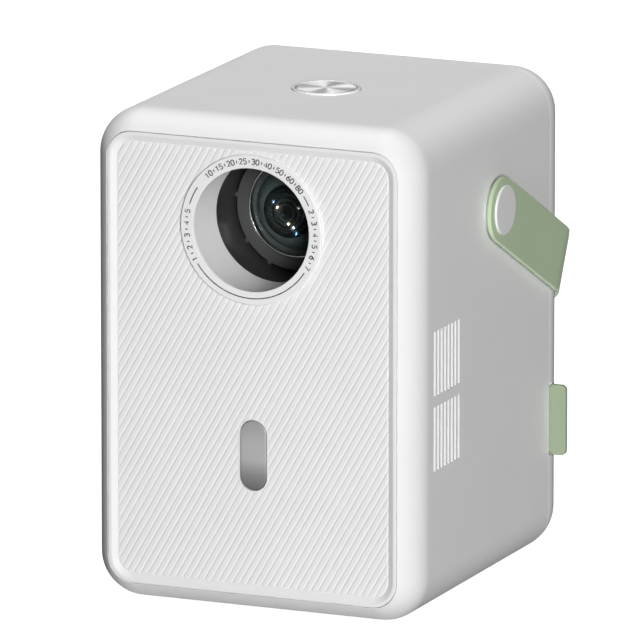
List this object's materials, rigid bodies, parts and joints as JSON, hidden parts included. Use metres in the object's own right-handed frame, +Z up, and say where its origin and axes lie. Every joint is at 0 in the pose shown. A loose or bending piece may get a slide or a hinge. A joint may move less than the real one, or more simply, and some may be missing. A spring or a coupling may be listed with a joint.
{
  "type": "mini projector",
  "caption": "Portable box projector with a slant-ribbed front, recessed lens, swinging strap handle, round push button on top and a slide-out dust filter.",
  "frame": {"origin": "centre of the bounding box of the rest pose, at the level of the feet undersides", "axes": "+Z up, front (lens side) towards -Y, rear cover and strap towards +Y, filter tab towards +X"},
  "size_m": [0.156, 0.2014, 0.2058],
  "materials": {
    "shell_white": "fine matt white",
    "panel_white": "matt white, slanted ribs",
    "ring_white": "satin white with fine dark marks",
    "hood_grey": "smooth light grey",
    "black_plastic": "black, slightly satin",
    "lens_black": "anti-glare black",
    "cell_dark": "dark blue-grey, coated look",
    "lens_glass": "polished, coated",
    "dark_glass": "polished, dark coating",
    "silver_trim": "thin bright ring",
    "spun_metal": "spun on a lathe, circular lines",
    "trim_white": "white",
    "cap_grey": "satin light grey",
    "silicone_green": "sage green, soft matt",
    "ir_grey": "glossy grey, passes infrared",
    "heatsink_metal": "extruded, plain",
    "socket_metal": "stamped",
    "circuit_board": "green solder mask",
    "gear_plastic": "natural nylon",
    "motor_metal": "drawn can",
    "led_white": "white carrier",
    "filter_white": "matt",
    "filter_net": "fine black net",
    "speaker_net": "white backing sheet",
    "foot_rubber": "dark grey, matt",
    "brass": "turned",
    "screw_steel": "zinc plated"
  },
  "bodies": {
    "housing": {"main_shell": "shell_white", "rear_cover": "shell_white", "front_panel": "panel_white", "ir_window": "ir_grey", "lens_ring": "ring_white", "lens_hood": "hood_grey", "baffle_tube": "black_plastic", "focus_motor": "motor_metal", "engine_housing": "black_plastic", "field_lens": "lens_glass", "lcd_panel": "dark_glass", "condenser_lens": "lens_glass", "led_module": "led_white", "heatsink": "heatsink_metal", "fan_frame": "black_plastic", "button_bezel": "trim_white", "button_board": "circuit_board", "handle_boss_right": "trim_white", "handle_cap_right": "cap_grey", "handle_boss_left": "trim_white", "handle_cap_left": "cap_grey", "side_mesh_right": "speaker_net", "speaker_box_right": "black_plastic", "speaker_driver_right": "black_plastic", "side_mesh_left": "speaker_net", "speaker_box_left": "black_plastic", "speaker_driver_left": "black_plastic", "main_board": "circuit_board", "chip_heatsink": "heatsink_metal", "power_board": "circuit_board", "port_plate": "black_plastic", "hdmi_socket": "socket_metal", "usb_socket": "socket_metal", "audio_socket": "black_plastic", "dc_socket": "black_plastic", "sensor_board": "circuit_board", "focus_camera": "dark_glass", "foot_front_left": "foot_rubber", "foot_front_right": "foot_rubber", "foot_rear_left": "foot_rubber", "foot_rear_right": "foot_rubber", "tripod_insert": "brass", "cover_screw_left": "screw_steel", "cover_screw_right": "screw_steel"},
    "strap": {"strap_handle": "silicone_green"},
    "button": {"power_button": "spun_metal"},
    "fan": {"fan_rotor": "black_plastic"},
    "focus_wheel": {"focus_gear": "brass"},
    "pinion": {"focus_pinion": "gear_plastic"},
    "lens_group": {"lens_barrel": "lens_black", "front_element": "lens_glass", "trim_ring": "silver_trim", "inner_cell": "cell_dark", "cell_ring": "lens_black", "second_element": "dark_glass", "aperture_stop": "lens_black", "rear_element": "lens_glass"},
    "filter": {"filter_frame": "filter_white", "filter_mesh": "filter_net", "filter_tab": "silicone_green"}
  },
  "joints": [
    {"name": "strap_hinge", "type": "hinge", "parent": "housing", "child": "strap", "pos_m": [-0.0009, -0.01696, 0.1592], "axis": [1, 0, 0], "range_deg": [0, 225]},
    {"name": "button_press", "type": "slide", "parent": "housing", "child": "button", "axis": [0, 0, -1], "range_m": [0, 0.0006], "stiffness_N_per_m": 3000},
    {"name": "filter_slide", "type": "slide", "parent": "housing", "child": "filter", "axis": [1, 0, 0], "range_m": [0, 0.115]},
    {"name": "fan_spin", "type": "hinge", "parent": "housing", "child": "fan", "pos_m": [-0.0009, 0.03379, 0.158], "axis": [0, 1, 0], "continuous": true},
    {"name": "focus_turn", "type": "hinge", "parent": "housing", "child": "focus_wheel", "pos_m": [-0.0009, -0.03846, 0.16095], "axis": [0, 1, 0], "range_deg": [-40, 40]},
    {"name": "pinion_spin", "type": "hinge", "parent": "housing", "child": "pinion", "pos_m": [0.02738, -0.03846, 0.13267], "axis": [0, 1, 0], "range_deg": [-190, 190]},
    {"name": "focus_travel", "type": "slide", "parent": "housing", "child": "lens_group", "axis": [0, 1, 0], "range_m": [-0.0026, 0.0026]}
  ],
  "couplings": [
    {"joint": "pinion_spin", "follows": "focus_turn", "ratio": -4.7143},
    {"joint": "focus_travel", "follows": "focus_turn", "m_per_rad": 0.00358}
  ]
}
